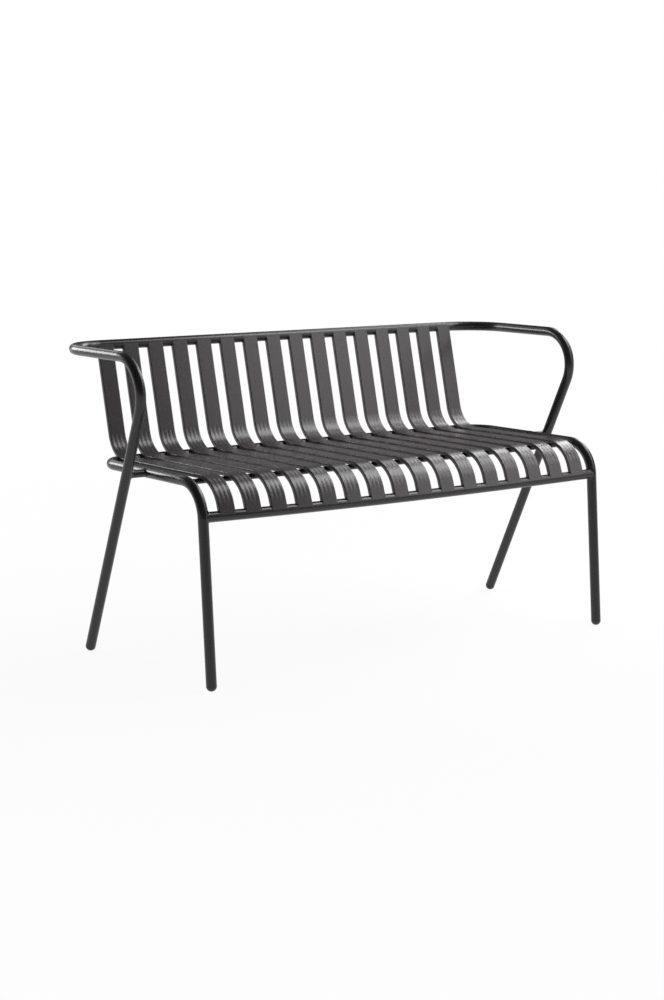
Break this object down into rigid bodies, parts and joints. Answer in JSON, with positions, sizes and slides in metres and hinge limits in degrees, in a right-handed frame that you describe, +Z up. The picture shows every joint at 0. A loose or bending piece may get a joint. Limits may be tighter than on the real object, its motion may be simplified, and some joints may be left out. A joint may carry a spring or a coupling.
{
  "type": "patio loveseat",
  "caption": "Slatted metal outdoor bench with a low leaning back, looping tubular arms that run into the rear legs, and splayed legs on domed glides.",
  "frame": {"origin": "middle of the bounding box's base, on the ground between the four feet", "axes": "+X along the bench's width, to the right for someone looking at it from the front; +Y from the open front towards the back; +Z up"},
  "size_m": [1.341, 0.625, 0.7563],
  "materials": {
    "frame_tube": "dark charcoal powder coat, satin",
    "slat": "dark charcoal powder coat, satin",
    "glide": "moulded black plastic, matt"
  },
  "bodies": {
    "root": {"arm_frame": "frame_tube", "seat_frame": "frame_tube", "front_bar": "frame_tube", "mid_bar": "frame_tube", "stub_left": "frame_tube", "stub_right": "frame_tube", "slat_01": "slat", "slat_02": "slat", "slat_03": "slat", "slat_04": "slat", "slat_05": "slat", "slat_06": "slat", "slat_07": "slat", "slat_08": "slat", "slat_09": "slat", "slat_10": "slat", "slat_11": "slat", "slat_12": "slat", "slat_13": "slat", "slat_14": "slat", "slat_15": "slat", "slat_16": "slat", "glide_front_left": "glide", "glide_front_right": "glide", "glide_rear_left": "glide", "glide_rear_right": "glide"}
  },
  "joints": []
}
